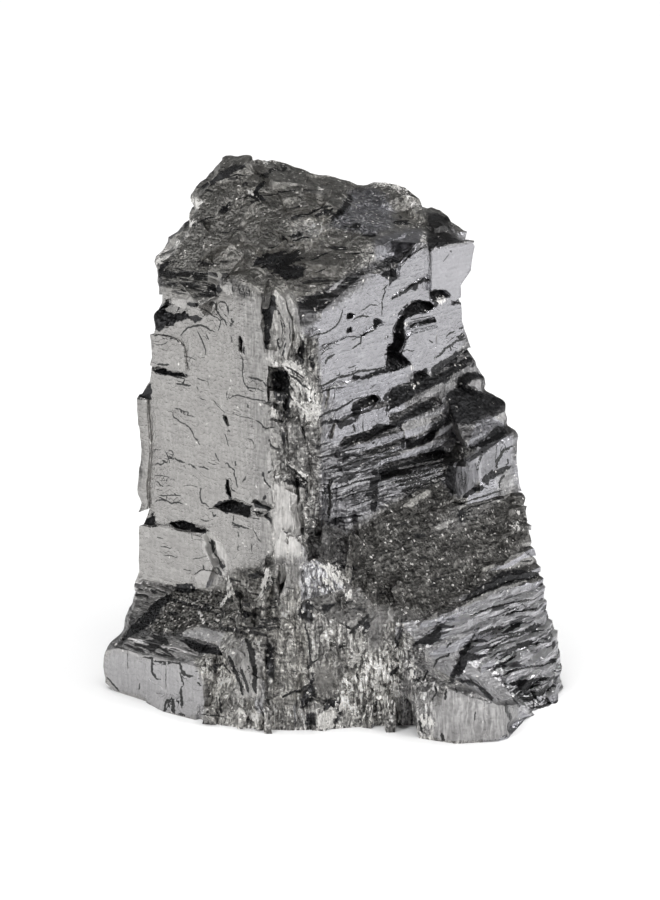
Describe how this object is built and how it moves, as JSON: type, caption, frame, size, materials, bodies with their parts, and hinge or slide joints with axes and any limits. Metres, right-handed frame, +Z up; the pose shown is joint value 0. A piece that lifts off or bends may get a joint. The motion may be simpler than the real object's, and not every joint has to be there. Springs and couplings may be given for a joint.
{
  "type": "raw galena",
  "caption": "Raw hand piece of massive galena: two bright cleavage faces stepped with ledges, a broken front edge, a dark broken top and a base that flares out.",
  "frame": {"origin": "middle of the footprint, on the ground the piece rests on", "axes": "+Z up; the broken front edge between the two bright faces looks towards -Y"},
  "size_m": [0.0654, 0.059, 0.0726],
  "materials": {
    "ore": "metallic grey, bright satin on the cleavage faces and dark where it broke across them"
  },
  "bodies": {
    "root": {"galena": "ore"}
  },
  "joints": []
}
